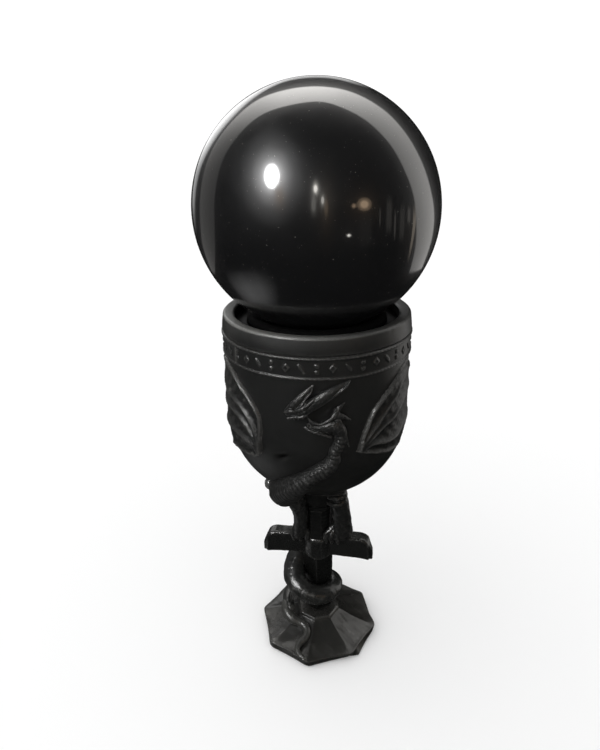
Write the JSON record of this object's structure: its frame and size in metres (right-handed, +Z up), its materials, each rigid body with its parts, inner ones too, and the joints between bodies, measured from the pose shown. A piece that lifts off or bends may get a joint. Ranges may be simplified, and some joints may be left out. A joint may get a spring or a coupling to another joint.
{
  "type": "crystal ball",
  "caption": "Black crystal ball resting in a small dark goblet whose stem is a sword, point down, with a dragon wound round it, on an eight-sided foot.",
  "frame": {"origin": "centre of the foot's underside, on the surface the part stands on", "axes": "+Z up the stem through the ball's centre; the dragon's head faces -Y; the sword's guard runs along X"},
  "size_m": [0.06, 0.06, 0.158],
  "materials": {
    "ball": "mirror-polished opaque black",
    "resin": "satin black cast resin with lightly rubbed high points",
    "rubber": "smooth black",
    "steel": "zinc-plated threaded rod, nuts and washers"
  },
  "bodies": {
    "stand": {"seat_collar": "resin", "bowl": "resin", "rim_band": "resin", "wing_left": "resin", "wing_right": "resin", "dragon_head": "resin", "dragon_neck": "resin", "dragon_body": "resin", "leg_left": "resin", "leg_right": "resin", "dragon_tail": "resin", "tail_tip": "resin", "sword_pommel": "resin", "sword_grip": "resin", "cross_guard": "resin", "sword_blade": "resin", "foot": "resin", "base_pad": "rubber", "tie_rod": "steel", "top_nut": "steel", "top_washer": "steel", "bottom_nut": "steel", "bottom_washer": "steel"},
    "ring": {"seat_ring": "rubber"},
    "ball": {"crystal_ball": "ball"}
  },
  "joints": [
    {"name": "ball_spin", "type": "hinge", "parent": "stand", "child": "ring", "pos_m": [0, 0, 0.1], "axis": [0, 0, 1], "continuous": true},
    {"name": "ball_lift", "type": "slide", "parent": "ring", "child": "ball", "axis": [0, 0, 1], "range_m": [0, 0.06]}
  ]
}
